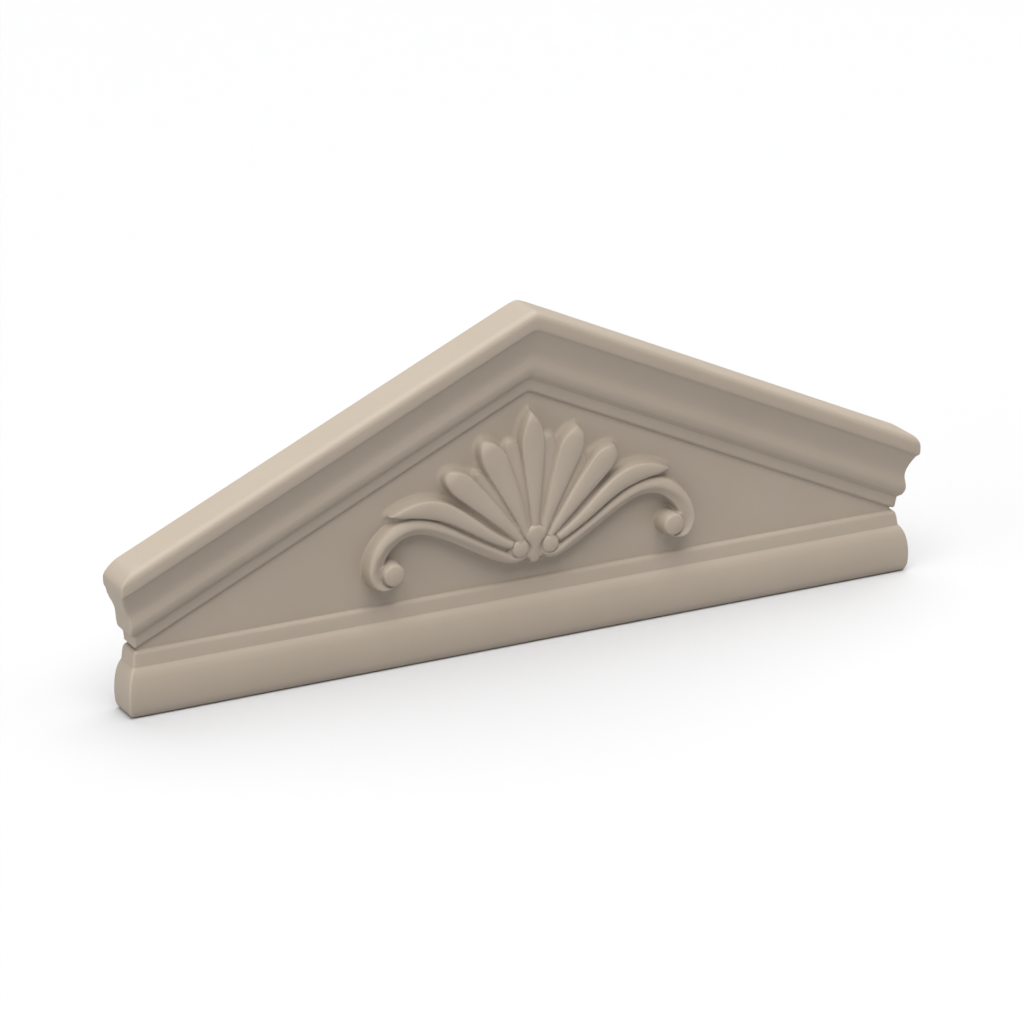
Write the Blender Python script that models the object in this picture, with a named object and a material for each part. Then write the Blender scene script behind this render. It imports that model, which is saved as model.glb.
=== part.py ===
"""Pediment section: a cast plaque with a low gable. A base torus and a raking crown moulding, both returned round the
ends, frame a recessed panel that carries a seven-leaf palmette rising from a pair of scrolls. One cast piece, flat back."""

import math

import bmesh
import bpy
import numpy as np
from mathutils import Vector

MM = 0.001

# Overall, millimetres. x runs along the length, the front faces -y, z is up, the underside is z = 0.
LENGTH = 600.0
BACK = 16.0  # from the panel face to the flat back
CROWN_OUT = 15.0  # from the panel face to the front of the crown
HALF = LENGTH / 2 - CROWN_OUT  # half length of the panel body
PANEL_Y = (CROWN_OUT - BACK) / 2  # centres the depth on y = 0
RISE = 0.4587  # slope of the gable
PANEL_APEX = 177.8  # top of the panel, under the crown

# Base, a torus with a square ledge over it: (out from the panel face, up from the underside).
BASE = (
    (5.6, 0.0),
    (7.7, 1.0),
    (8.9, 3.0),
    (9.7, 6.0),
    (10.0, 9.5),
    (10.05, 13.0),
    (9.9, 17.0),
    (9.5, 21.0),
    (8.8, 24.8),
    (7.9, 28.0),
    (6.6, 30.8),
    (5.3, 32.6),
    (4.3, 33.6),
)
LEDGE = ((4.15, 34.8), (3.5, 39.6), (2.5, 42.8), (1.4, 43.8), (0.3, 44.1))
PANEL_LOW, PANEL_HIGH = 44.2, -1.0

# Crown, from the panel up: fillet, ovolo, cavetto, corona. up is over the gable line.
FILLET = ((0.6, -0.9), (2.3, 0.9), (3.0, 5.4), (3.5, 8.8))
OVOLO = (
    (4.6, 9.9),
    (6.0, 11.6),
    (7.15, 14.0),
    (7.9, 16.8),
    (8.1, 19.4),
    (7.75, 22.2),
    (7.3, 25.2),
    (7.4, 28.2),
    (8.1, 31.6),
    (9.15, 35.0),
    (10.25, 38.2),
    (11.6, 41.4),
    (12.9, 44.2),
)
NOSE_LOW = ((13.7, 45.2), (14.5, 46.2), (14.85, 47.8), (15.0, 50.0))
NOSE_OUT, NOSE_UP, NOSE_WIDE, NOSE_HIGH, NOSE_FULL = 9.2, 51.5, 5.8, 7.2, 2.4
CORONA_TOP = NOSE_UP + NOSE_HIGH
WAIST_IN = 0.6  # the ends are drawn in this far between ledge and fillet
# the left end's own outline against the front's: (up, out)
LEFT_END = (
    (0.0, -0.2),
    (3.0, -0.8),
    (12.0, -0.6),
    (17.0, -1.1),
    (21.0, -0.8),
    (25.0, 0.2),
    (30.0, 1.1),
    (36.0, 1.8),
    (41.0, 1.5),
    (46.4, 0.0),
    (53.0, 0.0),
    (55.0, -0.8),
    (58.7, -4.6),
)
APEX_ROUND = 3.0
CORNER_ROUND = 1.9

# Palmette. Each leaf: foot, tip, bow towards the centre and how late it comes, half widths at foot and head, place of the
# head, bluntness of the tip on the side of the centre and on the far side.
LEAVES = {
    "centre": ((0.0, 80.0), (0.0, 164.0), 0.0, 1.0, 2.2, 8.6, 0.72, 0.80, 0.80),
    "inner": ((6.2, 78.0), (34.9, 148.4), 1.3, 0.75, 2.5, 9.0, 0.77, 0.72, 0.46),
    "middle": ((10.5, 75.5), (62.6, 130.5), 0.9, 0.75, 2.7, 8.3, 0.80, 0.72, 0.40),
    "outer": ((16.6, 73.4), (104.9, 106.6), 11.8, 1.6, 2.9, 6.5, 0.68, 0.80, 0.80),
}
LEAF_RISE = ((0.0, 12.6), (0.15, 12.8), (0.30, 12.8), (0.50, 12.0), (0.70, 11.2), (0.85, 10.6), (0.95, 9.2), (1.0, 6.6))
LEAF_SHOULDER = 0.88  # shoulder height over crest height
WEB_MARGIN, WEB_RISE, WEB_FROM = 2.7, 1.1, 70.0
FAN = ((3.0, 11.4), (14.0, 10.8), (24.0, 9.6), (34.0, 7.8), (44.0, 5.4), (54.0, 2.8), (62.0, 0.6))  # swell between the leaf feet
DARTS = (((4.6, 84.0), (15.0, 144.5), 6.0), ((12.0, 82.0), (40.6, 126.5), 4.6))
DART_RISE = 3.4

# Scroll band from the small volute, under the leaves and over, round the large one: x, z, width, height of the rolled edge.
SCROLL = (
    (5.6, 70.0, 2.4, 11.6),
    (6.6, 65.2, 4.2, 11.8),
    (10.6, 62.7, 5.6, 11.8),
    (16.0, 63.0, 7.2, 11.8),
    (22.5, 65.8, 9.0, 11.6),
    (32.5, 71.2, 9.9, 11.4),
    (43.0, 77.2, 10.2, 11.1),
    (53.5, 83.4, 10.2, 10.8),
    (63.5, 89.2, 10.4, 10.4),
    (73.0, 93.9, 11.0, 10.1),
    (82.0, 96.8, 11.6, 10.0),
    (90.0, 97.3, 12.0, 10.0),
    (97.9, 95.7, 12.1, 10.2),
    (105.0, 91.7, 12.1, 10.5),
    (111.0, 86.0, 11.9, 11.0),
    (115.4, 79.0, 11.8, 11.6),
    (117.4, 71.4, 11.4, 12.2),
    (116.6, 65.4, 9.8, 12.6),
    (114.0, 61.6, 7.8, 12.7),
    (110.6, 59.9, 5.6, 12.4),
    (107.2, 59.7, 3.4, 12.0),
    (104.6, 60.6, 1.8, 11.6),
)
EYE = (105.3, 67.9, 7.9, 14.5)  # large volute: x, z, radius, height
BUD = (11.2, 70.2, 6.6, 13.3)  # small volute
HUB = (  # calyx and stem on the axis: z, half width, height
    (57.6, 1.6, 8.6),
    (59.0, 3.2, 10.6),
    (62.0, 4.4, 11.8),
    (66.0, 4.3, 12.4),
    (69.6, 3.8, 13.0),
    (72.4, 4.6, 13.4),
    (75.0, 6.8, 13.6),
    (77.2, 8.0, 13.8),
    (79.4, 8.0, 13.8),
    (81.8, 6.9, 13.7),
    (83.8, 5.2, 13.4),
    (85.4, 3.0, 12.8),
)

STONE = (0.30, 0.257, 0.211)  # greige cast body, linear


def clear():
    for obj in list(bpy.data.objects):
        bpy.data.objects.remove(obj, do_unlink=True)


def material(name, colour, rough):
    mat = bpy.data.materials.new(name)
    mat.use_nodes = True
    shader = mat.node_tree.nodes["Principled BSDF"]
    shader.inputs["Base Color"].default_value = (*colour, 1.0)
    shader.inputs["Roughness"].default_value = rough
    return mat


def solid(name, points, faces):
    """A mesh object from points in millimetres, x along, out from the panel face, z up."""
    mesh = bpy.data.meshes.new(name)
    mesh.from_pydata([(x * MM, (PANEL_Y - out) * MM, z * MM) for x, out, z in points], [], faces)
    work = bmesh.new()
    work.from_mesh(mesh)
    bmesh.ops.remove_doubles(work, verts=work.verts, dist=1e-6)
    bmesh.ops.dissolve_degenerate(work, edges=work.edges, dist=1e-7)
    bmesh.ops.recalc_face_normals(work, faces=work.faces)
    work.to_mesh(mesh)
    work.free()
    obj = bpy.data.objects.new(name, mesh)
    bpy.context.scene.collection.objects.link(obj)
    return obj


def arc(count, first, last):
    return [math.radians(first + (last - first) * k / count) for k in range(count + 1)]


def base_profile():
    """(out, z) from the underside up to the panel face."""
    return list(BASE) + list(LEDGE) + [(0.0, PANEL_LOW)]


def crown_profile():
    """(out, up) from the panel face to the top of the corona, up over the gable line."""
    line = [(0.0, PANEL_HIGH)] + list(FILLET) + list(OVOLO) + list(NOSE_LOW)
    power = 2 / NOSE_FULL
    for a in arc(5, 10, 90):
        line.append((NOSE_OUT + NOSE_WIDE * abs(math.cos(a)) ** power, NOSE_UP + NOSE_HIGH * math.sin(a) ** power))
    return line


def gable(x, soft):
    """Height of the gable line at x, softened over the apex."""
    return PANEL_APEX - RISE * math.hypot(x, soft)


def fronts(out):
    return [(x, out) for x in (-16.0, -6.0, -2.5, 0.0, 2.5, 6.0, 16.0)]


def plan(out, left_more=0.0):
    """Plan of one moulding line: (x, out) from the back of the left end round the front to the back of the right end."""
    waist = min(1.0, max(0.0, 1 - out / 1.1))
    side = HALF + out - WAIST_IN * waist * waist * (3 - 2 * waist)
    r = min(CORNER_ROUND, 0.7 + out * 0.25)

    def end(side):
        return [(-side, -BACK)] + [(-side + r - r * math.cos(a), out - r + r * math.sin(a)) for a in arc(2, 0, 90)]

    return end(side + left_more) + fronts(out) + [(-x, o) for x, o in reversed(end(side))]


def body():
    """Base, panel, crown and flat back as one closed mesh, built line by line up the profile."""
    rows = [[(x, o, z) for x, o in plan(out)] for out, z in base_profile()]
    crown = crown_profile()
    for k, (out, up) in enumerate(crown):
        soft = APEX_ROUND * (0.35 + 0.65 * k / (len(crown) - 1))
        rows.append([(x, o, gable(x, soft) + up) for x, o in plan(out, between(LEFT_END, up))])
    right_edge = HALF + crown[-1][0]
    left_edge = right_edge + LEFT_END[-1][1]
    top = [(-left_edge, -BACK)] * 4 + fronts(-BACK) + [(right_edge, -BACK)] * 4
    rows.append([(x, o, gable(x, APEX_ROUND) + CORONA_TOP) for x, o in top])
    count = len(rows[0])
    points = [p for row in rows for p in row]
    faces = []
    for r in range(len(rows) - 1):
        for c in range(count - 1):
            a = r * count + c
            faces.append((a, a + 1, a + 1 + count, a + count))
    # underside and back
    faces.append(tuple(range(count - 1, -1, -1)))
    left = [r * count for r in range(len(rows))]
    right = [r * count + count - 1 for r in range(len(rows))]
    last = [(len(rows) - 1) * count + c for c in range(1, count - 1)]
    faces.append(tuple(left + last + right[::-1]))
    return solid("pediment", points, faces)


def spline(points, per):
    """Points on a smooth curve through the given ones, each a tuple of any length."""
    pts = [Vector(p) for p in points]
    pts = [2 * pts[0] - pts[1]] + pts + [2 * pts[-1] - pts[-2]]
    out = []
    for k in range(1, len(pts) - 2):
        a, b, c, d = pts[k - 1 : k + 3]
        for j in range(per):
            t = j / per
            out.append(0.5 * (2 * b + (c - a) * t + (2 * a - 5 * b + 4 * c - d) * t**2 + (3 * b - a - 3 * c + d) * t**3))
    out.append(pts[-2])
    return out


def between(table, t):
    """Straight-line value from a table of (place, value), flat before its start and past its end."""
    if t <= table[0][0]:
        return table[0][1]
    for (t0, v0), (t1, v1) in zip(table, table[1:]):
        if t <= t1:
            return v0 + (v1 - v0) * (t - t0) / (t1 - t0)
    return table[-1][1]


def leaf_width(t, foot, head, at, blunt):
    if t < at:
        u = t / at
        return foot + (head - foot) * (1.07 * u - 0.07 * u**8)
    u = (t - at) / (1 - at)
    return head * max(0.0, 1 - u * u) ** blunt


def axis_point(foot, tip, bow, late, t):
    """Point and direction on a leaf's centre line, bowed towards the centre."""
    dx, dz = tip[0] - foot[0], tip[1] - foot[1]
    long = math.hypot(dx, dz)
    ux, uz = dx / long, dz / long
    swell = bow * math.sin(math.pi * t**late)
    slope = bow * math.pi * late * max(t, 0.03) ** (late - 1) * math.cos(math.pi * t**late) / long
    x, z = foot[0] + dx * t - uz * swell, foot[1] + dz * t + ux * swell
    tx, tz = ux - uz * slope, uz + ux * slope
    size = math.hypot(tx, tz)
    return x, z, tx / size, tz / size


def loft(name, sections, sink):
    """A closed ridge from sections, each a list of (x, out, z) across the top; it reaches sink behind the panel face."""
    rows = []
    for line in sections:
        (x0, _, z0), (x1, _, z1) = line[0], line[-1]
        rows.append([(x0, -sink, z0)] + list(line) + [(x1, -sink, z1)])
    count = len(rows[0])
    points = [p for row in rows for p in row]
    faces = []
    for r in range(len(rows) - 1):
        for c in range(count):
            a, b = r * count + c, r * count + (c + 1) % count
            faces.append((a, b, b + count, a + count))
    faces.append(tuple(range(count - 1, -1, -1)))
    faces.append(tuple((len(rows) - 1) * count + c for c in range(count)))
    return solid(name, points, faces)


def leaf(name, shape, side, sink, flat=None):
    """One leaf on its centre line, or with flat a low dart of that height."""
    foot, tip, bow, late, w0, w1, at, near_blunt, far_blunt = shape
    sections = []
    for t in (0.0, 0.18, 0.36, 0.52, 0.66, 0.76, 0.84, 0.90, 0.945, 0.975, 0.993):
        x, z, tx, tz = axis_point(foot, tip, bow, late, t)
        near = max(0.5, leaf_width(t, w0, w1, at, near_blunt))
        far = max(0.5, leaf_width(t, w0, w1, at, far_blunt))
        if flat is None:
            crest = between(LEAF_RISE, t)
            profile = ((-1.05, 0.25), (-1.0, LEAF_SHOULDER * 0.9), (-0.88, LEAF_SHOULDER), (-0.5, 0.975), (0, 1.0))
        else:
            crest = flat
            profile = ((-1.03, 0.35), (-0.94, 0.9), (0, 1.0))
        profile = profile + tuple((-u, v) for u, v in reversed(profile[:-1]))
        line = []
        for u, v in profile:
            off = u * (far if u > 0 else near)
            line.append((side * (x + tz * off), v * crest, z - tx * off))
        sections.append(line)
    return loft(name, sections, sink)


def scroll(name, side, sink):
    line = spline(SCROLL, 3)
    sections = []
    for k, p in enumerate(line):
        a, b = line[max(0, k - 1)], line[min(len(line) - 1, k + 1)]
        tx, tz = b[0] - a[0], b[1] - a[1]
        size = math.hypot(tx, tz)
        nx, nz = -tz / size, tx / size  # towards the outer, upper edge
        half, high = p[2] / 2, p[3]
        # a rounded ridge outside the middle, the face falling from it to the inner edge
        profile = (
            (1.04, 0.15),
            (1.0, 0.62),
            (0.86, 0.84),
            (0.6, 0.95),
            (0.3, 1.0),
            (0.05, 0.96),
            (-0.25, 0.86),
            (-0.6, 0.76),
            (-0.88, 0.70),
            (-1.0, 0.55),
            (-1.04, 0.12),
        )
        sections.append([(side * (p[0] + nx * u * half), v * high, p[1] + nz * u * half) for u, v in profile])
    return loft(name, sections, sink)


def button(name, shape, side, sink, count=22):
    """A domed round boss: the eye of a volute."""
    x0, z0, radius, high = shape
    rings = ((1.04, -sink), (1.04, high * 0.45), (1.0, high * 0.84), (0.86, high * 0.95), (0.5, high))
    points, faces = [], []
    for scale, out in rings:
        for k in range(count):
            a = 2 * math.pi * (k + 0.31) / count
            points.append((side * (x0 + radius * scale * math.cos(a)), out, z0 + radius * scale * math.sin(a)))
    for r in range(len(rings) - 1):
        for k in range(count):
            a, b = r * count + k, r * count + (k + 1) % count
            faces.append((a, b, b + count, a + count))
    faces.append(tuple(range(count - 1, -1, -1)))
    top = len(points)
    points.append((side * x0, high * 1.02, z0))
    last = (len(rings) - 1) * count
    faces += [(last + k, last + (k + 1) % count, top) for k in range(count)]
    return solid(name, points, faces)


def hub(sink):
    sections = []
    for z, half, high in HUB:
        profile = ((-1.05, 0.3), (-0.97, 0.86), (-0.7, 0.95), (0, 1.0), (0.7, 0.95), (0.97, 0.86), (1.05, 0.3))
        sections.append([(u * half, v * high, z) for u, v in profile])
    return loft("hub", sections, sink)


def fan(sink):
    """The swell that fills the feet of the leaves."""
    angles = [math.radians(20 + 140 * k / 20) for k in range(21)]
    rows = [[(r * math.cos(a), out, WEB_FROM + r * math.sin(a)) for a in angles] for r, out in FAN]
    rows = [[(x, -sink, z) for x, _, z in rows[0]]] + rows + [[(x, -sink, z) for x, _, z in rows[-1]]]
    count = len(angles)
    points = [p for row in rows for p in row]
    faces = []
    for r in range(len(rows)):
        for c in range(count - 1):
            a, b = r * count + c, (r + 1) % len(rows) * count + c
            faces.append((a, a + 1, b + 1, b))
    faces.append(tuple(r * count for r in range(len(rows))))
    faces.append(tuple(r * count + count - 1 for r in range(len(rows) - 1, -1, -1)))
    return solid("fan", points, faces)


def web(sink):
    """The low plate behind the leaves: its outline stands a margin outside them, found along rays from under the hub."""
    rows = []
    for foot, tip, bow, late, w0, w1, at, _, far_blunt in LEAVES.values():
        for side in (1, -1):
            for k in range(61):
                t = k / 60
                x, z, _, _ = axis_point(foot, tip, bow, late, t)
                rows.append((side * x, z, leaf_width(t, w0, w1, at, far_blunt) + WEB_MARGIN))
    for foot, tip, wide in DARTS:
        for side in (1, -1):
            for k in range(31):
                t = 0.95 * k / 30
                x, z, _, _ = axis_point(foot, tip, 0.0, 1.0, t)
                rows.append((side * x, z, leaf_width(t, 1.5, wide, 0.85, 0.5) + 1.2))
    discs = np.array(rows)
    reach = np.arange(20.0, 130.0, 0.25)
    outline = []
    for angle in np.radians(np.arange(17.0, 163.5, 1.0)):
        x, z = reach * np.cos(angle), WEB_FROM + reach * np.sin(angle)
        inside = (np.hypot(x[:, None] - discs[:, 0], z[:, None] - discs[:, 1]) < discs[:, 2]).any(axis=1)
        k = int(np.nonzero(inside)[0].max())
        outline.append((float(x[k]), float(z[k])))
    outline.append((0.0, WEB_FROM))
    count = len(outline)
    points = [(x, out, z) for out in (-sink, WEB_RISE) for x, z in outline]
    faces = [(k, (k + 1) % count, (k + 1) % count + count, k + count) for k in range(count)]
    faces += [tuple(range(count - 1, -1, -1)), tuple(range(count, 2 * count))]
    return solid("web", points, faces)


def unite(target, tools):
    """Joins the tools to the target in one exact union."""
    group = bpy.data.collections.new("tools")
    bpy.context.scene.collection.children.link(group)
    for tool in tools:
        bpy.context.scene.collection.objects.unlink(tool)
        group.objects.link(tool)
    join = target.modifiers.new("join", "BOOLEAN")
    join.operation = "UNION"
    join.solver = "EXACT"
    join.operand_type = "COLLECTION"
    join.collection = group
    bpy.context.view_layer.update()
    graph = bpy.context.evaluated_depsgraph_get()
    mesh = bpy.data.meshes.new_from_object(target.evaluated_get(graph))
    target.modifiers.clear()
    old = target.data
    target.data = mesh
    bpy.data.meshes.remove(old)
    for tool in tools:
        bpy.data.objects.remove(tool, do_unlink=True)
    bpy.data.collections.remove(group)


clear()
pediment = body()
parts = [web(2.2), fan(2.0)]
for number, (name, shape) in enumerate(LEAVES.items()):
    for side in (1,) if name == "centre" else (1, -1):
        parts.append(leaf(name + ("_r" if side > 0 else "_l"), shape, side, 3.0 + 0.11 * number + (0.05 if side > 0 else 0.0)))
for number, (foot, tip, wide) in enumerate(DARTS):
    for side in (1, -1):
        shape = (foot, tip, 0.0, 1.0, 1.5, wide, 0.85, 0.5, 0.5)
        tag = f"dart_{number}_{'r' if side > 0 else 'l'}"
        parts.append(leaf(tag, shape, side, 2.5 + 0.1 * number + (0.04 if side > 0 else 0.0), DART_RISE))
for side in (1, -1):
    tag = "r" if side > 0 else "l"
    extra = 0.07 if side > 0 else 0.0
    parts.append(scroll("scroll_" + tag, side, 4.0 + extra))
    parts.append(button("eye_" + tag, EYE, side, 4.3 + extra))
    parts.append(button("bud_" + tag, BUD, side, 4.6 + extra))
parts.append(hub(5.0))
unite(pediment, parts)
pediment.data.materials.clear()
pediment.data.materials.append(material("cast_body", STONE, 0.55))
for face in pediment.data.polygons:
    face.use_smooth = False
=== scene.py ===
"""Pediment section: the cast surface in full detail, its matte body material, a pale floor, soft light and the camera."""

import math

import bmesh
import bpy
import numpy as np
from mathutils import Matrix, Vector
from mathutils.geometry import delaunay_2d_cdt


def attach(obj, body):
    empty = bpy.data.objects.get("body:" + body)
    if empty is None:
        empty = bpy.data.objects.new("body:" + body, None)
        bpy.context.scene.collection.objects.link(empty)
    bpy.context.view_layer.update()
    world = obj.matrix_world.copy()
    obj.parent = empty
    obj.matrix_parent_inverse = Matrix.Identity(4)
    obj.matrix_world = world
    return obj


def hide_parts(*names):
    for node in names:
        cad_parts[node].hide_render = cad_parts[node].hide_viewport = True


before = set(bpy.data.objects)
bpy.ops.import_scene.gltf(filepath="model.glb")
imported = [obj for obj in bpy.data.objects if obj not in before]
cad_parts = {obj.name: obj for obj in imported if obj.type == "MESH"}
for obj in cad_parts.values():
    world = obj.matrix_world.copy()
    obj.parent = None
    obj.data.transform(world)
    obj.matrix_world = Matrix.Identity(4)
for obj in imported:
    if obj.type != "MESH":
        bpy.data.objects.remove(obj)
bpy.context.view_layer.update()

MM = 0.001

# ---------------------------------------------------------------- sizes, millimetres
# x runs along the length, out is in front of the panel face, z is up from the underside.
LENGTH = 600.0
BACK = 16.0
CROWN_OUT = 15.0
HALF = LENGTH / 2 - CROWN_OUT
PANEL_Y = (CROWN_OUT - BACK) / 2
RISE = 0.4587
PANEL_APEX = 177.8

# profile of the base, (out, up from the underside), and of the crown, (out, up from the panel's edge)
BASE = (
    (5.6, 0.0),
    (7.7, 1.0),
    (8.9, 3.0),
    (9.7, 6.0),
    (10.0, 9.5),
    (10.05, 13.0),
    (9.9, 17.0),
    (9.5, 21.0),
    (8.8, 24.8),
    (7.9, 28.0),
    (6.6, 30.8),
    (5.3, 32.6),
    (4.3, 33.6),
)
LEDGE = ((4.15, 34.8), (3.9, 37.0), (3.5, 39.6), (3.1, 41.4), (2.5, 42.8), (1.4, 43.8), (0.3, 44.1))
PANEL_LOW = 44.2
PANEL_HIGH = -1.0
FILLET = ((0.6, -0.9), (1.5, -0.4), (2.3, 0.9), (2.7, 3.0), (3.0, 5.4), (3.25, 7.6), (3.5, 8.8))
OVOLO = (
    (4.6, 9.9),
    (6.0, 11.6),
    (7.15, 14.0),
    (7.9, 16.8),
    (8.1, 19.4),
    (7.75, 22.2),
    (7.3, 25.2),
    (7.4, 28.2),
    (8.1, 31.6),
    (9.15, 35.0),
    (10.25, 38.2),
    (11.6, 41.4),
    (12.9, 44.2),
)
NOSE_LOW = ((13.7, 45.2), (14.5, 46.2), (14.85, 47.8), (15.0, 50.0))
NOSE_OUT, NOSE_UP, NOSE_WIDE, NOSE_HIGH, NOSE_FULL = 9.2, 51.5, 5.8, 7.2, 2.4
CORONA_TOP = NOSE_UP + NOSE_HIGH
WAIST_IN = 0.6
# the left end's own outline against the front's, (up, out)
LEFT_END = (
    (0.0, -0.2),
    (3.0, -0.8),
    (8.0, -0.6),
    (12.0, -0.6),
    (17.0, -1.1),
    (21.0, -0.8),
    (25.0, 0.2),
    (30.0, 1.1),
    (36.0, 1.8),
    (41.0, 1.5),
    (46.4, 0.0),
    (53.0, 0.0),
    (55.0, -0.8),
    (58.7, -4.6),
)
APEX_ROUND = 3.0
CORNER_ROUND = 1.9
SOFTEN = 0.4  # how far the mould has softened each crease of the mouldings
SEAM = 0.9  # the panel sheet starts this far inside the mouldings

# foot, tip, bow towards the centre and where it is greatest, half width at the foot and the head, place of the head,
# bluntness of the tip on the side of the centre and on the far side
LEAVES = {
    "centre": ((0.0, 80.0), (0.0, 164.0), 0.0, 1.0, 2.2, 8.6, 0.72, 0.80, 0.80),
    "inner": ((6.2, 78.0), (34.9, 148.4), 1.3, 0.75, 2.5, 9.0, 0.77, 0.72, 0.46),
    "middle": ((10.5, 75.5), (62.6, 130.5), 0.9, 0.75, 2.7, 8.3, 0.80, 0.72, 0.40),
    "outer": ((16.6, 73.4), (104.9, 106.6), 11.8, 1.6, 2.9, 6.5, 0.68, 0.80, 0.80),
}
LEAF_RISE = ((0.0, 12.6), (0.15, 12.8), (0.30, 12.8), (0.50, 12.0), (0.70, 11.2), (0.85, 10.6), (0.95, 9.2), (1.0, 6.6))
LEAF_EDGE = 0.88  # height of a leaf's rim over its crest
WALL_AT, WALL_IN, WALL_OUT = 0.34, 0.40, 0.46  # steepness of the relief's walls: middle, top and foot
FOOT_Z = 70.0  # the leaves fan out from here
FAN = ((3.0, 11.5), (14.0, 10.8), (24.0, 10.0), (35.0, 9.3), (50.0, 8.2), (60.0, 6.9), (68.0, 5.2), (78.0, 3.3), (92.0, 2.4))
PLATE, PLATE_RISE = 2.6, 1.1  # the thin plate under the leaves: how far it shows round them, its height
APRON = 3.6  # beyond this nothing stands over the panel
DARTS = (((4.6, 84.0), (15.0, 144.5), 6.4), ((12.0, 82.0), (40.6, 126.5), 4.8))
DART_RISE = 0.8
CREVICE = ((10.0, 10.8), (30.0, 8.8), (60.0, 7.4), (95.0, 6.0))  # depth left in the narrow gaps between forms, by distance out
SCROLL = (
    (5.6, 70.0, 2.4, 11.6),
    (6.6, 65.2, 4.2, 11.8),
    (10.6, 62.7, 5.6, 11.8),
    (16.0, 63.0, 7.2, 11.8),
    (22.5, 65.8, 9.0, 11.6),
    (32.5, 71.2, 9.9, 11.4),
    (43.0, 77.2, 10.2, 11.1),
    (53.5, 83.4, 10.2, 10.8),
    (63.5, 89.2, 10.4, 10.4),
    (73.0, 93.9, 11.0, 10.1),
    (82.0, 96.8, 11.6, 10.0),
    (90.0, 97.3, 12.0, 10.0),
    (97.9, 95.7, 12.1, 10.2),
    (105.0, 91.7, 12.1, 10.5),
    (111.0, 86.0, 11.9, 11.0),
    (115.4, 79.0, 11.8, 11.6),
    (117.4, 71.4, 11.4, 12.2),
    (116.6, 65.4, 9.8, 12.6),
    (114.0, 61.6, 7.8, 12.7),
    (110.6, 59.9, 5.6, 12.4),
    (107.2, 59.7, 3.4, 12.0),
    (104.6, 60.6, 1.8, 11.6),
)
EYE = (105.3, 67.9, 7.9, 14.5)
BUD = (11.2, 70.2, 6.6, 13.3)
HUB = (
    (57.6, 1.6, 8.6),
    (59.0, 3.2, 10.6),
    (62.0, 4.4, 11.8),
    (66.0, 4.3, 12.4),
    (69.6, 3.8, 13.0),
    (72.4, 4.6, 13.4),
    (75.0, 6.8, 13.6),
    (77.2, 8.0, 13.8),
    (79.4, 8.0, 13.8),
    (81.8, 6.9, 13.7),
    (83.8, 5.2, 13.4),
    (85.4, 3.0, 12.8),
)


# ---------------------------------------------------------------- curves
def arc(count, first, last):
    return [math.radians(first + (last - first) * k / count) for k in range(count + 1)]


def smooth_table(table, x):
    """Smooth curve through a table of (x, value), flat beyond its ends."""
    xs = np.array([r[0] for r in table], float)
    ys = np.array([r[1] for r in table], float)
    slope = np.gradient(ys, xs)
    x = np.clip(x, xs[0], xs[-1])
    k = np.clip(np.searchsorted(xs, x, side="right") - 1, 0, len(xs) - 2)
    h = xs[k + 1] - xs[k]
    t = (x - xs[k]) / h
    a, b = ys[k], ys[k + 1]
    return (
        a * (2 * t**3 - 3 * t**2 + 1)
        + b * (3 * t**2 - 2 * t**3)
        + h * slope[k] * (t**3 - 2 * t**2 + t)
        + h * slope[k + 1] * (t**3 - t**2)
    )


def spline(points, per):
    pts = np.array(points, float)
    pts = np.vstack([2 * pts[0] - pts[1], pts, 2 * pts[-1] - pts[-2]])
    out = []
    for k in range(1, len(pts) - 2):
        a, b, c, d = pts[k - 1], pts[k], pts[k + 1], pts[k + 2]
        for j in range(per):
            t = j / per
            out.append(0.5 * (2 * b + (c - a) * t + (2 * a - 5 * b + 4 * c - d) * t**2 + (3 * b - a - 3 * c + d) * t**3))
    out.append(pts[-2])
    return np.array(out)


def even(line, step):
    """The same polyline with a point every step, near enough."""
    line = np.array(line, float)
    far = np.concatenate([[0], np.cumsum(np.hypot(*np.diff(line, axis=0).T))])
    count = max(2, int(round(far[-1] / step)) + 1)
    at = np.linspace(0, far[-1], count)
    return np.stack([np.interp(at, far, line[:, 0]), np.interp(at, far, line[:, 1])], 1)


def softened(line, sigma, step=0.1):
    """The polyline with its creases rounded by a running average; its two ends stay put."""
    line = even(line, step)
    reach = int(4 * sigma / step)
    weight = np.exp(-0.5 * (np.arange(-reach, reach + 1) * step / sigma) ** 2)
    weight /= weight.sum()
    out = []
    for k in range(2):
        v = line[:, k]
        padded = np.concatenate([2 * v[0] - v[reach:0:-1], v, 2 * v[-1] - v[-2 : -reach - 2 : -1]])
        out.append(np.convolve(padded, weight, "valid"))
    return np.stack(out, 1)


def thinned(line, turn=6.0, longest=4.0, shortest=0.22):
    """Keeps a point wherever the line has turned by an angle, or run on for the longest step."""
    way = np.unwrap(np.arctan2(*np.diff(line, axis=0).T[::-1]))
    keep, last, angle = [0], 0, way[0]
    for k in range(1, len(line) - 1):
        run = np.hypot(*(line[k] - line[last]))
        if run >= longest or (abs(way[k] - angle) > math.radians(turn) and run >= shortest):
            keep.append(k)
            last, angle = k, way[k]
    keep.append(len(line) - 1)
    return line[keep]


# ---------------------------------------------------------------- mouldings
def base_profile():
    line = [tuple(p) for p in spline(BASE, 6)] + [tuple(p) for p in spline(LEDGE, 6)]
    line += [(0.0, PANEL_LOW), (0.0, PANEL_LOW + SEAM + 1.5)]
    line = softened(line, SOFTEN)
    line[:, 1] = np.maximum(line[:, 1], 0.0)
    line = thinned(line[line[:, 1] <= PANEL_LOW + SEAM])
    line[-1] = (0.0, PANEL_LOW + SEAM)
    return line


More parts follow.
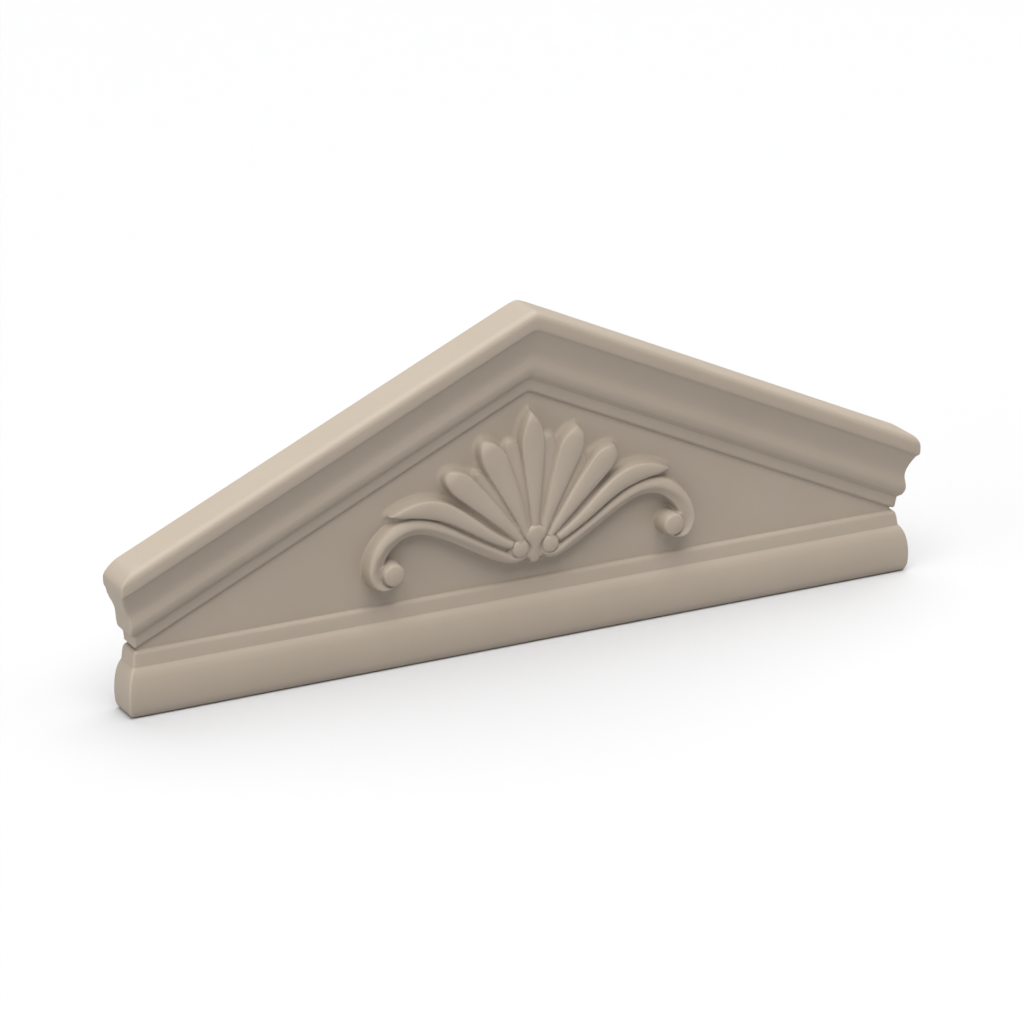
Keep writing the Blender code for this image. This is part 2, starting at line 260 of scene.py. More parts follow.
def crown_profile():
    line = [(0.0, PANEL_HIGH - SEAM - 1.5), (0.0, PANEL_HIGH)]
    line += [tuple(p) for p in spline(FILLET, 6)] + [tuple(p) for p in spline(OVOLO, 6)] + [tuple(p) for p in spline(NOSE_LOW, 4)]
    power = 2 / NOSE_FULL
    line += [
        (NOSE_OUT + NOSE_WIDE * abs(math.cos(a)) ** power, NOSE_UP + NOSE_HIGH * math.sin(a) ** power)
        for a in arc(24, 1.0, 90)
    ]
    line.append((NOSE_OUT - 3.0, CORONA_TOP))
    line = softened(line, SOFTEN)
    line[:, 0] = np.minimum(line[:, 0], CROWN_OUT)
    line[:, 1] = np.minimum(line[:, 1], CORONA_TOP)
    line = thinned(line[line[:, 1] >= PANEL_HIGH - SEAM])
    line[0] = (0.0, PANEL_HIGH - SEAM)
    return line


def gable(x, soft):
    return PANEL_APEX - RISE * np.hypot(x, soft)


def stations():
    """x of the points along the front, close together at the apex."""
    half = [0.0, 0.7, 1.5, 2.4, 3.5, 5.0, 7.0, 10.0, 14.0, 20.0, 28.0]
    while half[-1] < HALF - 24:
        half.append(half[-1] + 9.0)
    return np.array([-v for v in reversed(half[1:])] + half)


FRONT_X = stations()
RETURN_OUT = [-BACK, -12.0, -8.0, -4.0]


def plan(out, left_more=0.0):
    """Plan of one line of moulding: (x, out) from the back of the left end round to the back of the right end."""
    waist = np.clip(1 - out / 1.1, 0, 1)
    side = HALF + out - WAIST_IN * waist * waist * (3 - 2 * waist)
    r = min(CORNER_ROUND, 0.7 + out * 0.25)

    def end(side):
        line = [(-side, o) for o in RETURN_OUT]
        line += [(-side + r - r * math.cos(a), out - r + r * math.sin(a)) for a in arc(6, 0, 90)]
        line.append((-side + r + 3.0, out))
        line.append((-side + r + 9.0, out))
        return line

    front = [(x, out) for x in FRONT_X]
    return end(side + left_more) + front + [(-x, o) for x, o in reversed(end(side))]


# ---------------------------------------------------------------- relief on the panel
def axis_point(foot, tip, bow, late, t):
    dx, dz = tip[0] - foot[0], tip[1] - foot[1]
    long = math.hypot(dx, dz)
    ux, uz = dx / long, dz / long
    swell = bow * np.sin(math.pi * t**late)
    slope = bow * math.pi * late * np.maximum(t, 0.03) ** (late - 1) * np.cos(math.pi * t**late) / long
    x, z = foot[0] + dx * t - uz * swell, foot[1] + dz * t + ux * swell
    tx, tz = ux - uz * slope, uz + ux * slope
    size = np.hypot(tx, tz)
    return x, z, tx / size, tz / size


def leaf_width(t, foot, head, at, blunt):
    u = np.minimum(t / at, 1.0)
    v = np.clip((t - at) / (1 - at), 0, 1)
    return np.where(t < at, foot + (head - foot) * (1.07 * u - 0.07 * u**8), head * np.maximum(0.0, 1 - v * v) ** blunt)


def leaf_lines(shape, count=72):
    """(axis points, place of each, half widths towards the centre and away from it, closed outline) of one leaf."""
    foot, tip, bow, late, w0, w1, at, near_blunt, far_blunt = shape
    t = np.sin(np.linspace(0, math.pi / 2, count + 1))
    x, z, tx, tz = axis_point(foot, tip, bow, late, t)
    far = leaf_width(t, w0, w1, at, far_blunt)
    near = leaf_width(t, w0, w1, at, near_blunt)
    side_a = np.stack([x + tz * far, z - tx * far], 1)
    side_b = np.stack([x - tz * near, z + tx * near], 1)
    return np.stack([x, z], 1), t, np.stack([near, far], 1), np.vstack([side_a, side_b[-2::-1]])


def band_lines():
    line = spline(SCROLL, 5)
    way = np.gradient(line[:, :2], axis=0)
    way /= np.hypot(way[:, 0], way[:, 1])[:, None]
    normal = np.stack([-way[:, 1], way[:, 0]], 1)
    return line, normal


def blocks(count, size=6000):
    return [slice(k, min(k + size, count)) for k in range(0, count, size)]


def to_outline(p, outline):
    """Signed distance to a closed outline, below zero inside."""
    a = outline
    b = np.roll(outline, -1, axis=0)
    ab = b - a
    length2 = np.maximum((ab**2).sum(1), 1e-12)
    out = np.empty(len(p))
    for s in blocks(len(p)):
        dx = p[s, 0][:, None] - a[:, 0]
        dz = p[s, 1][:, None] - a[:, 1]
        t = np.clip((dx * ab[:, 0] + dz * ab[:, 1]) / length2, 0, 1)
        d2 = ((dx - t * ab[:, 0]) ** 2 + (dz - t * ab[:, 1]) ** 2).min(1)
        over = (a[:, 1] > p[s, 1][:, None]) != (b[:, 1] > p[s, 1][:, None])
        with np.errstate(divide="ignore", invalid="ignore"):
            cross = dx < ab[:, 0] * dz / ab[:, 1]
        inside = (over & cross).sum(1) % 2 == 1
        out[s] = np.sqrt(d2) * np.where(inside, -1.0, 1.0)
    return out


def to_axis(p, line):
    """(place along the line from 0 to the number of its segments, signed distance, above zero to the left)."""
    a, b = line[:-1], line[1:]
    ab = b - a
    length2 = (ab**2).sum(1)
    place, away = np.empty(len(p)), np.empty(len(p))
    for s in blocks(len(p)):
        dx = p[s, 0][:, None] - a[:, 0]
        dz = p[s, 1][:, None] - a[:, 1]
        t = np.clip((dx * ab[:, 0] + dz * ab[:, 1]) / length2, 0, 1)
        ex, ez = dx - t * ab[:, 0], dz - t * ab[:, 1]
        d2 = ex**2 + ez**2
        k = d2.argmin(1)
        row = np.arange(len(k))
        turn = ab[k, 0] * dz[row, k] - ab[k, 1] * dx[row, k]
        place[s] = k + t[row, k]
        away[s] = np.sqrt(d2[row, k]) * np.where(turn < 0, -1.0, 1.0)
    return place, away


def wall(d, at=WALL_AT, inner=WALL_IN, outer=WALL_OUT):
    """1 on top of a form and 0 off it; d is the distance outside its outline."""
    return 0.5 * (1 - np.tanh((d - at) / np.where(d < at, inner, outer)))


def step(x, low, high):
    t = np.clip((x - low) / (high - low), 0, 1)
    return t * t * (3 - 2 * t)


def over(a, b, soft):
    """The higher of two surfaces, with the crease between them filled; nothing is added where either is at the panel."""
    soft = np.maximum(soft * np.clip(np.minimum(a, b) / 2.0, 0, 1), 1e-9)
    h = np.maximum(soft - np.abs(a - b), 0) / soft
    return np.maximum(a, b) + h * h * soft / 4


LEAF_SHAPES = {name: leaf_lines(shape) for name, shape in LEAVES.items()}
DART_SHAPES = [leaf_lines((foot, tip, 0.0, 1.0, 1.5, wide, 0.85, 0.5, 0.5), 30) for foot, tip, wide in DARTS]
BAND_LINE, BAND_NORMAL = band_lines()
HUB_Z = np.linspace(HUB[0][0], HUB[-1][0], 60)
HUB_HALF = smooth_table([(z, w) for z, w, _ in HUB], HUB_Z)
HUB_OUTLINE = np.vstack([np.stack([HUB_HALF, HUB_Z], 1), np.stack([-HUB_HALF, HUB_Z], 1)[::-1]])


def ring_groove(x, z, centre, radius, wide, first, last):
    """A groove along part of a circle, 1 at its bottom."""
    r = np.hypot(x - centre[0], z - centre[1])
    angle = np.degrees(np.arctan2(z - centre[1], x - centre[0]))
    middle, spread = (first + last) / 2, (last - first) / 2
    off = np.abs((angle - middle + 180) % 360 - 180)
    return np.exp(-(((r - radius) / wide) ** 2)) * (1 - step(off, spread - 18, spread))


def relief(x, z):
    """(height over the panel, distance outside the nearest form) at points of the panel."""
    x = np.abs(x)
    p = np.stack([x, z], 1)
    high = np.zeros(len(p))
    near = np.full(len(p), 60.0)
    other = np.full(len(p), 60.0)
    web = np.full(len(p), 60.0)

    def close(outline, margin=9.0):
        low, top = outline.min(0) - margin, outline.max(0) + margin
        return np.nonzero(((p > low) & (p < top)).all(1))[0]

    def nearest(k, d):
        """Keeps the distances to the nearest form and to the next one."""
        other[k] = np.minimum(other[k], np.maximum(near[k], d))
        near[k] = np.minimum(near[k], d)

    def across(index, away, widths, least):
        """Distance from a leaf's axis over its half width."""
        place = np.arange(len(widths))
        half = np.where(away > 0, np.interp(index, place, widths[:, 0]), np.interp(index, place, widths[:, 1]))
        return np.clip(np.abs(away) / np.maximum(half, least), 0, 1)

    # leaves and the darts between them
    leaf, dart = np.zeros(len(p)), np.zeros(len(p))
    for axis, t, w, outline in LEAF_SHAPES.values():
        k = close(outline)
        d = to_outline(p[k], outline)
        place, away = to_axis(p[k], axis)
        s = across(place, away, w, 0.8)
        crest = smooth_table(LEAF_RISE, np.interp(place, np.arange(len(t)), t))
        top = crest * (1 - (1 - LEAF_EDGE) * s**2.4)
        leaf[k] = over(leaf[k], top * wall(d), 0.8)
        nearest(k, d)
        web[k] = np.minimum(web[k], d)
    for axis, t, w, outline in DART_SHAPES:
        k = close(outline)
        d = to_outline(p[k], outline)
        place, away = to_axis(p[k], axis)
        s = across(place, away, w, 0.5)
        dart[k] = np.maximum(dart[k], (1.0 - 0.3 * s * s) * wall(d, 0.1, 0.7, 0.7))
        web[k] = np.minimum(web[k], d + 0.9)
    # the ground under them: a thin plate, with a fillet up to the leaves that fills the narrow gaps
    r = np.hypot(x, z - FOOT_Z)
    angle = np.degrees(np.arctan2(z - FOOT_Z, x))
    fan = smooth_table(FAN, r) * step(angle, 4, 14) * step(r, 1.0, 6.0)
    fillet = np.exp(-np.maximum(web - 0.3, 0) / np.interp(r, (48.0, 76.0), (10.0, 1.4)))
    plate = PLATE_RISE * (1 - step(web, PLATE - 1.1, PLATE + 1.0)) * step(angle, 4, 14) * step(r, 4.0, 12.0)
    ground = np.where(web < APRON + 2, fan * fillet * (1 - step(web, APRON, APRON + 2)), 0)
    ground = over(ground + DART_RISE * dart, plate, 0.5)
    high = over(ground, leaf, 0.9)
    # scroll band
    k = close(BAND_LINE[:, :2], 14.0)
    place, away = to_axis(p[k], BAND_LINE[:, :2])
    index = np.arange(len(BAND_LINE))
    half = np.interp(place, index, BAND_LINE[:, 2]) / 2
    ridge = np.interp(place, index, BAND_LINE[:, 3])
    u = np.clip(away / half, -1.1, 1.1)
    d = np.abs(away) - half
    crest = np.interp(place, (25, 50, 62, 80), (0.25, -0.05, -0.02, 0.62))
    upper = 1 - np.interp(place, (60, 80), (0.34, 0.14)) * (np.maximum(u - crest, 0) / (1 - crest)) ** 2
    fall = np.maximum(crest - u, 0) / (1 + crest)
    rolled = upper - 0.26 * step(fall, 0.0, 0.95)
    domed = upper - 0.22 * fall**2
    mix = np.maximum(step(place, 17.0 * 5, 20.0 * 5), 1 - step(place, 3.0 * 5, 6.5 * 5))
    band = ridge * (rolled * (1 - mix) + domed * mix) * wall(d, 0.25, 0.45, 0.55)
    high[k] = over(high[k], band, 0.5)
    nearest(k, d)
    # eyes of the volutes
    for (cx, cz, radius, rise), gap in ((EYE, 0.9), (BUD, 1.3)):
        r = np.hypot(x - cx, z - cz)
        d = r - radius
        if cx == EYE[0]:
            # the band and the eye run together on the outer side
            around = np.degrees(np.arctan2(z - cz, x - cx))
            collar = step(around, -105, -80) * (1 - step(around, 38, 86)) * wall(r - radius - 2.6, 0.0, 0.8, 0.8)
            high = over(high, 0.72 * rise * collar, 0.6)
        disc = rise * (1.0 - 0.09 * np.clip(r / radius, 0, 1.1) ** 2) * wall(d, 0.25, 0.5, 0.55)
        high = over(high, disc, gap)
        if cx == BUD[0]:
            other = np.minimum(other, np.maximum(near, d))
        near = np.minimum(near, d)
    high = high - 0.7 * ring_groove(x, z, EYE, EYE[2] + 0.3, 0.8, -95, 60) * (high > 6)
    high = high - 0.45 * ring_groove(x, z, BUD, BUD[2] + 0.1, 0.75, -190, 20) * (high > 6)
    # calyx and stem
    k = close(HUB_OUTLINE)
    d = to_outline(p[k], HUB_OUTLINE)
    half = np.interp(z[k], HUB_Z, HUB_HALF)
    crest = smooth_table([(a, c) for a, _, c in HUB], z[k])
    s = np.clip(x[k] / np.maximum(half, 1.0), 0, 1)
    high[k] = over(high[k], crest * (1 - 0.13 * s**2.2) * wall(d, 0.25, 0.5, 0.6), 0.9)
    other[k] = np.minimum(other[k], np.maximum(near[k], d))
    near[k] = np.minimum(near[k], d)
    # the narrow gaps between forms are shallow
    reach = np.interp(np.hypot(x, z - FOOT_Z), (20.0, 40.0, 60.0), (6.0, 6.0, 8.5))
    tight = 1 - step(np.maximum(near, 0) + np.maximum(other, 0), 0.8, reach)
    high = over(high, np.interp(np.hypot(x, z - FOOT_Z), *np.array(CREVICE).T) * tight, 0.8)
    return np.maximum(high, 0.0), near, web


# ---------------------------------------------------------------- points of the panel sheet
def offset_points(outline, offsets, spacing, closed=True):
    """Points along lines parallel to an outline; those that aren't really that far from it are left out."""
    found = []
    if closed:
        outline = np.vstack([outline, outline[:1]])
    line = even(outline, spacing)
    if closed:
        line = line[:-1]
    way = (np.roll(line, -1, axis=0) - np.roll(line, 1, axis=0)) if closed else np.gradient(line, axis=0)
    way /= np.maximum(np.hypot(way[:, 0], way[:, 1]), 1e-9)[:, None]
    normal = np.stack([way[:, 1], -way[:, 0]], 1)
    if closed and (to_outline(line[:40] + normal[:40] * 0.05, outline[:-1]) < 0).mean() > 0.5:
        normal = -normal
    for k, off in enumerate(offsets):
        pts = line + normal * off
        if k % 2:
            pts = (pts + np.roll(pts, -1, axis=0)) / 2 if closed else pts
        if closed:
            real = to_outline(pts, outline[:-1])
            pts = pts[np.abs(real - off) < 0.07]
        found.append(pts)
    return found


def sheet_points():
    rows = []  # (points, priority, closest)
    fine = (0.0, 0.25, 0.5, 0.78, -0.3, 1.15, -0.7, 1.7, -1.3)
    for axis, t, w, outline in LEAF_SHAPES.values():
        rows += offset_points(outline, fine, 0.62)
    outer = BAND_LINE[:, :2] + BAND_NORMAL * BAND_LINE[:, 2:3] / 2
    inner = BAND_LINE[:, :2] - BAND_NORMAL * BAND_LINE[:, 2:3] / 2
    for side, sign in ((outer, 1.0), (inner, -1.0)):
        line = even(side, 0.62)
        way = np.gradient(line, axis=0)
        way /= np.hypot(way[:, 0], way[:, 1])[:, None]
        normal = np.stack([-way[:, 1], way[:, 0]], 1) * sign
        for off in fine:
            rows.append(line + normal * off)
    for share in (0.72, 0.5, 0.3, 0.12, -0.1, -0.4):
        rows.append(even(BAND_LINE[:, :2] + BAND_NORMAL * BAND_LINE[:, 2:3] / 2 * share, 0.9))
    for cx, cz, radius, _ in (EYE, BUD):
        for off in fine + (-2.2, -3.0):
            r = radius + off
            count = int(2 * math.pi * r / 0.6)
            a = 2 * math.pi * (np.arange(count) + 0.5) / count
            rows.append(np.stack([cx + r * np.cos(a), cz + r * np.sin(a)], 1))
    rows += offset_points(HUB_OUTLINE, fine[:8], 0.55)
    for axis, t, w, outline in DART_SHAPES:
        rows += offset_points(outline, (0.0, 0.35, 0.75, -0.5), 0.9)
    # broad areas: the tops, the web, the panel near the relief
    grid_x, grid_z = np.meshgrid(np.arange(0.5, 126, 0.95), np.arange(50, 172, 0.82))
    grid_x = grid_x + 0.475 * (np.arange(grid_x.shape[0]) % 2)[:, None]
    grid = np.stack([grid_x.ravel(), grid_z.ravel()], 1)
    _, near, web = relief(grid[:, 0], grid[:, 1])
    wanted = (np.abs(near - 0.2) > 1.2) & ((near < 0) | (web < APRON + 0.6) | (near < 2.6))
    rows.append(grid[wanted])
    grid_x, grid_z = np.meshgrid(np.arange(1.5, 134, 3.2), np.arange(47.5, 176, 2.8))
    grid_x = grid_x + 1.6 * (np.arange(grid_x.shape[0]) % 2)[:, None]
    grid = np.stack([grid_x.ravel(), grid_z.ravel()], 1)
    _, near, web = relief(grid[:, 0], grid[:, 1])
    rows.append(grid[(near > 3.4) & (web > APRON + 0.6)])
    pts = np.vstack([np.concatenate([r, np.full((len(r), 1), float(k))], 1) for k, r in enumerate(rows)])
    pts = pts[(pts[:, 0] > 0.25) & (pts[:, 1] > 46.4)]
    pts = pts[pts[:, 1] < gable(pts[:, 0], 1.0) + PANEL_HIGH - SEAM - 1.0]
    # far panel
    grid_x, grid_z = np.meshgrid(np.arange(6.0, HALF - 12, 10.0), np.arange(53.0, 176, 9.0))
    far = np.stack([grid_x.ravel(), grid_z.ravel()], 1)
    far = far[(far[:, 0] > 138) & (far[:, 1] < gable(far[:, 0], 1.0) + PANEL_HIGH - SEAM - 3.0)]
    # no two points closer than the gap
    for gap, shift in ((0.30, 0.0), (0.30, 0.15), (0.30, 0.075)):
        cell = np.floor((pts[:, :2] + shift) / gap).astype(np.int64)
        key = cell[:, 0] * 100003 + cell[:, 1]
        _, first = np.unique(key, return_index=True)
        pts = pts[np.sort(first)]
    half = np.vstack([pts[:, :2], far])
    middle_z = np.concatenate([np.arange(46.8, 57, 2.5), np.arange(57.2, 90, 0.6), np.arange(90, 168.5, 0.9), np.arange(170, 175, 2.0)])
    middle = np.stack([np.zeros_like(middle_z), middle_z], 1)
    return np.vstack([half, half * (-1, 1), middle])


# ---------------------------------------------------------------- the mesh
class Surface:
    """Points, faces and, for each point, how much it is an edge, made lighter as partly wear and partly painted
    highlight, and how much a crease, darkened as painted shade.
    """

    def __init__(self):
        self.points, self.faces, self.edge, self.crease_shade = [], [], [], []

    def add(self, points, edge, crease_shade):
        first = len(self.points)
        self.points += [tuple(float(v) for v in p) for p in points]
        self.edge += [float(v) for v in np.broadcast_to(edge, len(points))]
        self.crease_shade += [float(v) for v in np.broadcast_to(crease_shade, len(points))]
        return list(range(first, first + len(points)))


def fill(border, inner):
    """Delaunay triangles of a closed border of 2D points with more points inside; the border's points come first."""
    count = len(border)
    verts = [Vector((float(a), float(b))) for a, b in border] + [Vector((float(a), float(b))) for a, b in inner]
    edges = [(k, (k + 1) % count) for k in range(count)]
    got, _, faces, origin, _, _ = delaunay_2d_cdt(verts, edges, [], 1, 1e-7)
    back = [o[0] if o else -1 for o in origin]
    if min(back) < 0 or len(got) != len(verts):
        raise RuntimeError(f"the sheet's points met: {len(verts)} given, {len(got)} kept")
    return [tuple(back[i] for i in f) for f in faces]


def bends(line):
    """Turn per millimetre at each point of a profile, above zero where it bulges."""
    way = np.unwrap(np.arctan2(*np.diff(line, axis=0).T[::-1]))
    run = np.hypot(*np.diff(line, axis=0).T)
    turn = np.diff(way) / ((run[1:] + run[:-1]) / 2)
    return np.concatenate([[0], turn, [0]])


def crown_soft(k, count):
    return APEX_ROUND * min(1.0, 0.35 + 0.85 * k / (count - 1))


def build():
    surface = Surface()
    base, crown = base_profile(), crown_profile()
    rows = []
    corner = [0.0, 0.0, 0.0, 0.0] + [0.35, 0.8, 1.0, 1.0, 1.0, 0.8, 0.35] + [0.0, 0.0]
    corner = np.array(corner + [0.0] * len(FRONT_X) + corner[::-1])
    # convex bends give each point's edge mask, made lighter in the material as partly wear and partly painted
    # highlight; concave bends give its crease mask, darkened as painted shade
    for (out, z), bend in zip(base, bends(base)):
        rows.append(
            surface.add([(x, o, z) for x, o in plan(out)], np.clip(bend / 0.5, corner * 0.8, 1), np.clip(-bend / 0.6, 0, 1))
        )
    split = len(rows)
    for k, ((out, up), bend) in enumerate(zip(crown, bends(crown))):
        soft = crown_soft(k, len(crown))
        left_more = min(float(smooth_table(LEFT_END, up)), CROWN_OUT - out)
        line = [(x, o, gable(x, soft) + up) for x, o in plan(out, left_more)]
        rows.append(surface.add(line, np.clip(bend / 0.5, corner * 0.8, 1), np.clip(-bend / 0.6, 0, 1)))
    count = len(rows[0])
    side = (count - len(FRONT_X)) // 2
    first, last = side - 3, count - side + 2  # the columns where the front begins and ends, past the corner arcs
    for r in range(len(rows) - 1):
        for c in range(count - 1):
            if r == split - 1 and first <= c < last:
                continue
            surface.faces.append((rows[r][c], rows[r][c + 1], rows[r + 1][c + 1], rows[r + 1][c]))
    # the panel: a sheet between the ledge and the crown
    border = rows[split - 1][first : last + 1] + rows[split][first : last + 1][::-1]
    flat = [(surface.points[i][0], surface.points[i][2]) for i in border]
    inner = sheet_points()
    faces = fill(flat, inner)
    high, near, _ = relief(inner[:, 0], inner[:, 1])
    # rims of the relief forms, made lighter in the material: partly wear, partly painted highlight
    edge = np.exp(-(((near + 0.45) / 0.55) ** 2)) * step(high, 2.0, 6.0)
    # painted shade: the crease just outside the foot of each relief form is darkened
    crease_shade = np.exp(-(((near - 1.1) / 1.0) ** 2)) * (near > -0.5)
    index = border + surface.add(np.stack([inner[:, 0], high, inner[:, 1]], 1), edge, crease_shade)
    surface.faces += [tuple(index[i] for i in f) for f in faces]
    # top
    soft = crown_soft(len(crown) - 1, len(crown))
    xs = [surface.points[i][0] for i in rows[-1][side - 2 : count - side + 2]]
    ridge = surface.add([(x, -BACK, gable(x, soft) + crown[-1][1]) for x in xs], 0.0, 0.0)
    border = rows[-1] + ridge[::-1]
    flat = [(surface.points[i][0], surface.points[i][1]) for i in border]
    inner = np.array([(x, o) for o in (-10.0, -4.0, 2.0, 7.0) for x in xs])
    index = border + surface.add([(x, o, gable(x, soft) + crown[-1][1]) for x, o in inner], 0.0, 0.0)
    surface.faces += [tuple(index[i] for i in f) for f in fill(flat, inner)]
    # back and underside
    border = [row[0] for row in rows] + ridge + [row[-1] for row in rows[::-1]]
    flat = [(surface.points[i][0], surface.points[i][2]) for i in border]
    inner = np.array([(x, z) for z in np.arange(18.0, 225.0, 12.0) for x in np.arange(-280.0, 281.0, 14.0)])
    inner = inner[inner[:, 1] < gable(inner[:, 0], 1.0) + CORONA_TOP - 8.0]
    inner = inner[(np.abs(inner[:, 0]) < 270) | ((inner[:, 1] > 8) & (inner[:, 1] < 30))]
    index = border + surface.add([(x, -BACK, z) for x, z in inner], 0.0, 0.0)
    surface.faces += [tuple(index[i] for i in f) for f in fill(flat, inner)]
    surface.faces.append(tuple(rows[0]))
    return surface


def make_object(surface):
    data = bpy.data.meshes.new("cast_body")
    points = np.array(surface.points)
    world = np.stack([points[:, 0], PANEL_Y - points[:, 1], points[:, 2]], 1) * MM
    data.from_pydata(world.tolist(), [], surface.faces)
    work = bmesh.new()
    work.from_mesh(data)
    bmesh.ops.recalc_face_normals(work, faces=work.faces)
    work.to_mesh(data)
    work.free()
    for name, values in (("edge", surface.edge), ("crease_shade", surface.crease_shade)):
        data.attributes.new(name, "FLOAT", "POINT").data.foreach_set("value", values)
    data.shade_smooth()
    sharp = data.attributes.new("sharp_edge", "BOOLEAN", "EDGE")
    flags = []
    for e in data.edges:
        a, b = points[e.vertices[0]], points[e.vertices[1]]
        behind = a[1] < -BACK + 0.01 and b[1] < -BACK + 0.01
        below = a[2] < 0.001 and b[2] < 0.001
        flags.append(bool(behind or below))
    sharp.data.foreach_set("value", flags)
    obj = bpy.data.objects.new("cast_body", data)
    bpy.context.scene.collection.objects.link(obj)
    return obj


surface = build()
body = make_object(surface)
weighted = body.modifiers.new("weighted", "WEIGHTED_NORMAL")
weighted.mode = "FACE_AREA"
weighted.keep_sharp = True
weighted.weight = 50
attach(body, "root")
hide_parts("pediment")


# ---------------------------------------------------------------- material
def cast_material():
    mat = bpy.data.materials.new("cast_greige")
    mat.use_nodes = True
    nodes, links = mat.node_tree.nodes, mat.node_tree.links
    shader = nodes["Principled BSDF"]
    place = nodes.new("ShaderNodeTexCoord")

    def noise(scale, detail, rough, distortion=0.0):
        n = nodes.new("ShaderNodeTexNoise")
        n.inputs["Scale"].default_value = scale
        n.inputs["Detail"].default_value = detail
        n.inputs["Roughness"].default_value = rough
        n.inputs["Distortion"].default_value = distortion
        links.new(place.outputs["Object"], n.inputs["Vector"])
        return n.outputs["Fac"]

    def maths(kind, a, b, clamp=False):
        n = nodes.new("ShaderNodeMath")
        n.operation = kind
        n.use_clamp = clamp
        for socket, value in zip(n.inputs, (a, b)):
            if isinstance(value, (int, float)):
                socket.default_value = value
            else:
                links.new(value, socket)
        return n.outputs[0]

    def ranged(value, low, high, to_low, to_high):
        n = nodes.new("ShaderNodeMapRange")
        links.new(value, n.inputs["Value"])
        for name, v in (("From Min", low), ("From Max", high), ("To Min", to_low), ("To Max", to_high)):
            n.inputs[name].default_value = v
        return n.outputs["Result"]

    def mix(fac, a, b):
        n = nodes.new("ShaderNodeMix")
        n.data_type = "RGBA"
        links.new(fac, n.inputs["Factor"]) if not isinstance(fac, float) else setattr(n.inputs["Factor"], "default_value", fac)
        for socket, value in ((n.inputs["A"], a), (n.inputs["B"], b)):
            if isinstance(value, tuple):
                socket.default_value = (*value, 1.0)
            else:
                links.new(value, socket)
        return n.outputs["Result"]

    def attribute(name):
        n = nodes.new("ShaderNodeAttribute")
        n.attribute_name = name
        return n.outputs["Fac"]

    broad = noise(9.0, 3.0, 0.55, 0.4)
    cloud = noise(55.0, 5.0, 0.6)
    grain = noise(900.0, 4.0, 0.65)
    edge, crease_shade = attribute("edge"), attribute("crease_shade")
    colour = mix(ranged(broad, 0.35, 0.65, 0.0, 1.0), BODY_DARK, BODY_LIGHT)
    colour = mix(ranged(cloud, 0.42, 0.70, 0.0, 0.45), colour, BODY_WARM)
    # edges made lighter, patchy with the noise: partly wear, partly painted highlight; the same mask makes them a
    # little glossier
    wear_and_highlight = maths("MULTIPLY", edge, ranged(cloud, 0.36, 0.66, 0.25, 1.0), True)
    colour = mix(maths("MULTIPLY", wear_and_highlight, 0.42), colour, BODY_WEAR_AND_HIGHLIGHT)
    # painted shade: the creases are darkened; the same mask makes them a little rougher
    colour = mix(maths("MULTIPLY", crease_shade, 0.38), colour, BODY_PAINTED_SHADE)
    links.new(colour, shader.inputs["Base Color"])
    rough = maths("ADD", ranged(cloud, 0.3, 0.7, 0.56, 0.66), maths("MULTIPLY", wear_and_highlight, -0.07))
    links.new(maths("ADD", rough, maths("MULTIPLY", crease_shade, 0.06)), shader.inputs["Roughness"])
    shader.inputs["Specular IOR Level"].default_value = 0.38
    height = maths("ADD", maths("MULTIPLY", grain, 0.25), maths("MULTIPLY", cloud, 1.0))
    bump = nodes.new("ShaderNodeBump")
    bump.inputs["Strength"].default_value = 0.35
    bump.inputs["Distance"].default_value = 0.00016
    links.new(height, bump.inputs["Height"])
    links.new(bump.outputs["Normal"], shader.inputs["Normal"])
    return mat


BODY_DARK = (0.297, 0.250, 0.199)
BODY_LIGHT = (0.311, 0.263, 0.211)
BODY_WARM = (0.307, 0.256, 0.200)
# lighter colour of the edges: partly wear, partly painted highlight
BODY_WEAR_AND_HIGHLIGHT = (0.337, 0.291, 0.236)
# painted shade colour for the creases
BODY_PAINTED_SHADE = (0.261, 0.215, 0.166)
body.data.materials.append(cast_material())


# ---------------------------------------------------------------- stage, light and camera
def plain_material(name, colour, rough):
    mat = bpy.data.materials.new(name)
    mat.use_nodes = True
    shader = mat.node_tree.nodes["Principled BSDF"]
    shader.inputs["Base Color"].default_value = (*colour, 1.0)
    shader.inputs["Roughness"].default_value = rough
    shader.inputs["Specular IOR Level"].default_value = 0.2
    return mat


def floor():
    data = bpy.data.meshes.new("floor")
    far = 14.0
    data.from_pydata([(-far, -far, -0.0001), (far, -far, -0.0001), (far, far, -0.0001), (-far, far, -0.0001)], [], [(0, 1, 2, 3)])
    obj = bpy.data.objects.new("floor", data)
    data.materials.append(plain_material("floor_white", (0.47, 0.47, 0.474), 0.7))
    bpy.context.scene.collection.objects.link(obj)


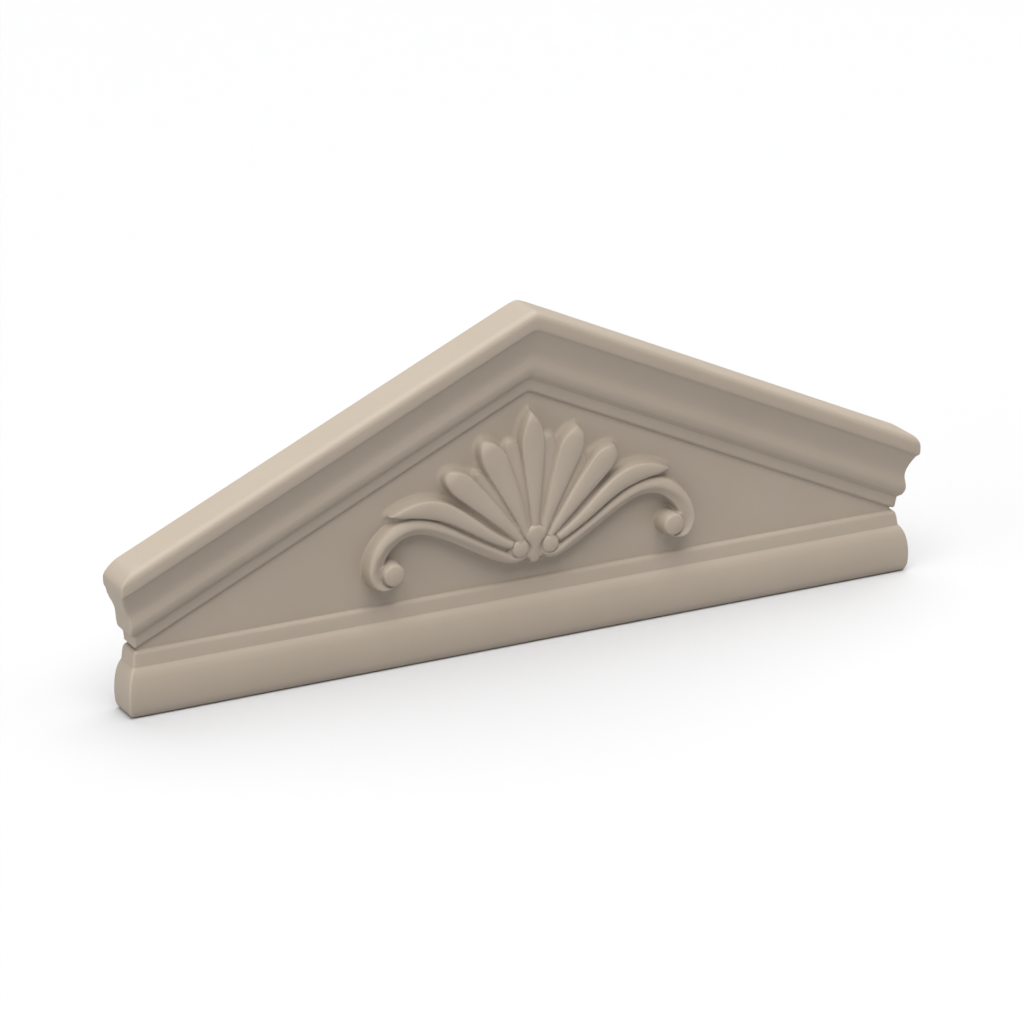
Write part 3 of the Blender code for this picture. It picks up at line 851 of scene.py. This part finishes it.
def soft_light(name, around, above, spread, strength, colour=(1.0, 1.0, 1.0)):
    """A very large far light; its direction is an angle round from the front, to the right, and an angle above the floor."""
    data = bpy.data.lights.new(name, "SUN")
    data.angle = math.radians(spread)
    data.energy = strength
    data.color = colour
    obj = bpy.data.objects.new(name, data)
    a, b = math.radians(around), math.radians(above)
    toward = Vector((math.sin(a) * math.cos(b), -math.cos(a) * math.cos(b), math.sin(b)))
    obj.rotation_euler = (-toward).to_track_quat("-Z", "Y").to_euler()
    obj.location = toward * 3
    bpy.context.scene.collection.objects.link(obj)


floor()
soft_light("key", -26, 63, 50, 3.3)
soft_light("right", 62, 64, 60, 1.4)
soft_light("left", -80, 20, 45, 1.3)
soft_light("top", 150, 64, 60, 2.1)
SKY, HORIZON = 0.05, 0.95
world = bpy.data.worlds.new("studio")
bpy.context.scene.world = world
world.use_nodes = True
background = world.node_tree.nodes["Background"]
background.inputs["Color"].default_value = (1.0, 1.0, 1.0, 1.0)
direction = world.node_tree.nodes.new("ShaderNodeTexCoord")
split = world.node_tree.nodes.new("ShaderNodeSeparateXYZ")
fade = world.node_tree.nodes.new("ShaderNodeMapRange")
fade.inputs["From Min"].default_value = 0.055
fade.inputs["From Max"].default_value = 0.10
fade.inputs["To Min"].default_value = HORIZON
fade.inputs["To Max"].default_value = SKY
world.node_tree.links.new(direction.outputs["Generated"], split.inputs["Vector"])
world.node_tree.links.new(split.outputs["Z"], fade.inputs["Value"])
world.node_tree.links.new(fade.outputs["Result"], background.inputs["Strength"])


def camera():
    data = bpy.data.cameras.new("camera")
    data.sensor_width = 36.0
    data.lens = 162.69
    data.clip_end = 60.0
    right = Vector((0.89135203, -0.45327574, -0.00571553))
    up = Vector((0.15981628, 0.30242475, 0.93967975))
    back = right.cross(up)
    place = Vector((-1.3250986, -2.5964696, 1.1517339))
    obj = bpy.data.objects.new("camera", data)
    obj.matrix_world = Matrix(
        (
            (right.x, up.x, back.x, place.x),
            (right.y, up.y, back.y, place.y),
            (right.z, up.z, back.z, place.z),
            (0, 0, 0, 1),
        )
    )
    bpy.context.scene.collection.objects.link(obj)
    bpy.context.scene.camera = obj


camera()
bpy.context.scene.view_settings.view_transform = "Standard"
bpy.context.scene.view_settings.look = "None"
